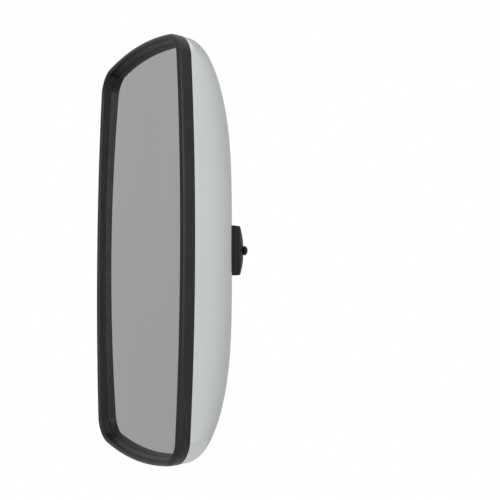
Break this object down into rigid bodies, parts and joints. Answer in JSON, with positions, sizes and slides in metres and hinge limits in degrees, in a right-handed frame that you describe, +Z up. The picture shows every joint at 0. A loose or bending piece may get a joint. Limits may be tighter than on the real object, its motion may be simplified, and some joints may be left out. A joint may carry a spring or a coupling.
{
  "type": "vehicle exterior mirror head",
  "caption": "Tall framed convex rear-view mirror head with a bright scooped back shell and a black ball clamp that holds it on a vertical mirror pole.",
  "frame": {"origin": "middle of the clamp's bore, on the pole axis", "axes": "+Z up along the pole, glass faces -Y, +X towards the side of the head that is nearer to the pole"},
  "size_m": [0.194, 0.1127, 0.432],
  "materials": {
    "clamp_half": "bright die cast, polished ball",
    "cover_black": "satin black coat",
    "screw_black": "black zinc",
    "zinc": "zinc plated",
    "liner_white": "plain bearing plastic",
    "liner_grey": "ground",
    "housing_black": "fine moulded grain",
    "cup": "phosphated casting",
    "insert_brass": "knurled",
    "spring_steel": "blued",
    "plate": "zinc plated sheet",
    "post_black": "moulded",
    "shell_chrome": "bright plated plastic",
    "gasket": "soft rubber",
    "bezel_black": "satin moulded plastic",
    "mirror": "first surface mirror glass",
    "seal": "soft rubber",
    "foam": "adhesive foam",
    "backing": "moulded sheet"
  },
  "bodies": {
    "pole_clamp": {"ball_clamp_half": "clamp_half", "clamp_cover": "cover_black", "clamp_screws": "screw_black", "clamp_nuts": "zinc"},
    "pan_liner": {"inner_liner": "liner_white"},
    "roll_liner": {"outer_liner": "liner_grey"},
    "head": {"socket_housing": "housing_black", "socket_cup": "cup", "threaded_inserts": "insert_brass", "tension_bolts": "zinc", "disc_springs": "spring_steel", "spacer_tubes": "zinc", "support_plate": "plate", "shell_posts": "post_black", "post_screws": "zinc", "back_shell": "shell_chrome", "shell_gasket": "gasket", "front_bezel": "bezel_black", "mirror_glass": "mirror", "glass_seal": "seal", "bonding_foam": "foam", "glass_backing": "backing", "backing_studs": "zinc", "stud_nuts": "zinc"}
  },
  "joints": [
    {"name": "pan", "type": "hinge", "parent": "pole_clamp", "child": "pan_liner", "pos_m": [0, -0.011, 0], "axis": [0, 0, 1], "range_deg": [-5, 5]},
    {"name": "roll", "type": "hinge", "parent": "pan_liner", "child": "roll_liner", "pos_m": [0, -0.011, 0], "axis": [0, 1, 0], "range_deg": [-3, 3]},
    {"name": "tilt", "type": "hinge", "parent": "roll_liner", "child": "head", "pos_m": [0, -0.011, 0], "axis": [1, 0, 0], "range_deg": [-14, 14]}
  ]
}
